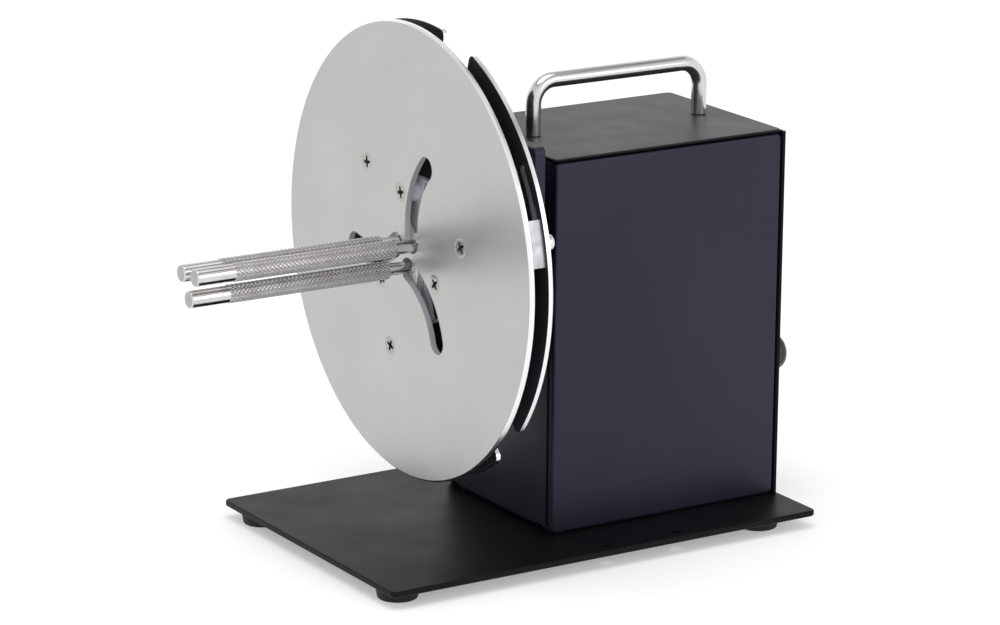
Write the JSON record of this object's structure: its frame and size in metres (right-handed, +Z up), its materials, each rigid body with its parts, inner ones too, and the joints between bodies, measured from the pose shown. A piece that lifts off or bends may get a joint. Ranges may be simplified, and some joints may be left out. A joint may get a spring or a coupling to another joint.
{
  "type": "manual label rewinder",
  "caption": "Hand cranked label rewinder: housing on a footed base plate, slotted flange with knurled rods that spread by a notched disc, carrying handle and rear crank.",
  "frame": {"origin": "on the table, under the shaft, halfway between the tips of the rods and the end of the grip", "axes": "+Z up, +Y along the shaft from the core rods to the crank, +X to the right as seen from the rods"},
  "size_m": [0.22, 0.336, 0.255],
  "materials": {
    "powder_coat": "satin black powder coat",
    "base_coat": "satin black powder coat",
    "rubber": "matt black rubber",
    "stainless": "satin stainless steel",
    "zinc_steel": "bright zinc plate",
    "satin_aluminium": "bead blasted and clear anodised",
    "turned_aluminium": "turned",
    "disc_coat": "satin black faces with bright machined edges",
    "knurled_steel": "nickel plated, knurled",
    "bearing_steel": "ground bearing steel",
    "black_steel": "black oxide",
    "arm_steel": "laser cut steel",
    "grip_plastic": "black moulded plastic"
  },
  "bodies": {
    "stand": {"base_plate": "base_coat", "rubber_feet": "rubber", "foot_screws": "zinc_steel", "housing_frame": "powder_coat", "housing_lid": "powder_coat", "side_panel_right": "powder_coat", "side_panel_left": "powder_coat", "frame_screws": "zinc_steel", "panel_screws": "zinc_steel", "carry_handle": "stainless", "handle_screws": "zinc_steel", "handle_washers": "zinc_steel", "bearing_plate": "powder_coat", "plate_spacers": "zinc_steel", "plate_screws": "zinc_steel", "plate_nuts": "zinc_steel", "front_bearing_housing": "turned_aluminium", "rear_bearing_housing": "turned_aluminium", "front_housing_screws": "zinc_steel", "rear_housing_screws": "zinc_steel", "front_bearing_outer_ring": "bearing_steel", "rear_bearing_outer_ring": "bearing_steel"},
    "spindle": {"shaft": "bearing_steel", "spindle_hub": "turned_aluminium", "hub_set_screws": "black_steel", "disc_retaining_ring": "black_steel", "front_flange": "satin_aluminium", "hub_screws": "zinc_steel", "pivot_screws": "zinc_steel", "pivot_posts": "zinc_steel", "lock_blocks": "satin_aluminium", "block_dowels": "bearing_steel", "front_bearing_inner_ring": "bearing_steel", "rear_bearing_inner_ring": "bearing_steel", "front_bearing_balls": "bearing_steel", "rear_bearing_balls": "bearing_steel", "crank_spacer": "turned_aluminium", "crank_arm": "powder_coat", "crank_key": "black_steel", "crank_washer": "zinc_steel", "crank_end_screw": "zinc_steel", "grip_pin": "bearing_steel"},
    "adjuster": {"adjuster_disc": "disc_coat"},
    "grip": {"crank_grip": "grip_plastic", "grip_cap": "grip_plastic"},
    "arm_1": {"swing_arm_1": "arm_steel", "core_rod_1": "knurled_steel", "rod_screw_1": "zinc_steel", "tail_pin_1": "bearing_steel"},
    "lock_1": {"lock_screw_1": "zinc_steel"},
    "arm_2": {"swing_arm_2": "arm_steel", "core_rod_2": "knurled_steel", "rod_screw_2": "zinc_steel", "tail_pin_2": "bearing_steel"},
    "lock_2": {"lock_screw_2": "zinc_steel"},
    "arm_3": {"swing_arm_3": "arm_steel", "core_rod_3": "knurled_steel", "rod_screw_3": "zinc_steel", "tail_pin_3": "bearing_steel"},
    "lock_3": {"lock_screw_3": "zinc_steel"}
  },
  "joints": [
    {"name": "spindle_spin", "type": "hinge", "parent": "stand", "child": "spindle", "pos_m": [0, -0.052, 0.145], "axis": [0, 1, 0], "continuous": true},
    {"name": "adjuster_turn", "type": "hinge", "parent": "spindle", "child": "adjuster", "pos_m": [0, -0.041, 0.145], "axis": [0, 1, 0], "range_deg": [0, 18.25]},
    {"name": "grip_spin", "type": "hinge", "parent": "spindle", "child": "grip", "pos_m": [0, 0.153, 0.065], "axis": [0, 1, 0], "continuous": true},
    {"name": "arm_1_swing", "type": "hinge", "parent": "spindle", "child": "arm_1", "pos_m": [0.04938, -0.047, 0.15777], "axis": [0, 1, 0], "range_deg": [0, 56]},
    {"name": "lock_screw_1_turn", "type": "hinge", "parent": "spindle", "child": "lock_1", "pos_m": [0.10043, -0.038, 0.17004], "axis": [0, 1, 0], "range_deg": [-180, 0]},
    {"name": "arm_2_swing", "type": "hinge", "parent": "spindle", "child": "arm_2", "pos_m": [-0.03575, -0.047, 0.18138], "axis": [0, 1, 0], "range_deg": [0, 56]},
    {"name": "lock_screw_2_turn", "type": "hinge", "parent": "spindle", "child": "lock_2", "pos_m": [-0.0719, -0.038, 0.21945], "axis": [0, 1, 0], "range_deg": [-180, 0]},
    {"name": "arm_3_swing", "type": "hinge", "parent": "spindle", "child": "arm_3", "pos_m": [-0.01363, -0.047, 0.09585], "axis": [0, 1, 0], "range_deg": [0, 56]},
    {"name": "lock_screw_3_turn", "type": "hinge", "parent": "spindle", "child": "lock_3", "pos_m": [-0.02853, -0.038, 0.04551], "axis": [0, 1, 0], "range_deg": [-180, 0]}
  ],
  "couplings": [
    {"joint": "arm_1_swing", "follows": "adjuster_turn", "ratio": 3.0686},
    {"joint": "arm_2_swing", "follows": "adjuster_turn", "ratio": 3.0686},
    {"joint": "arm_3_swing", "follows": "adjuster_turn", "ratio": 3.0686}
  ]
}
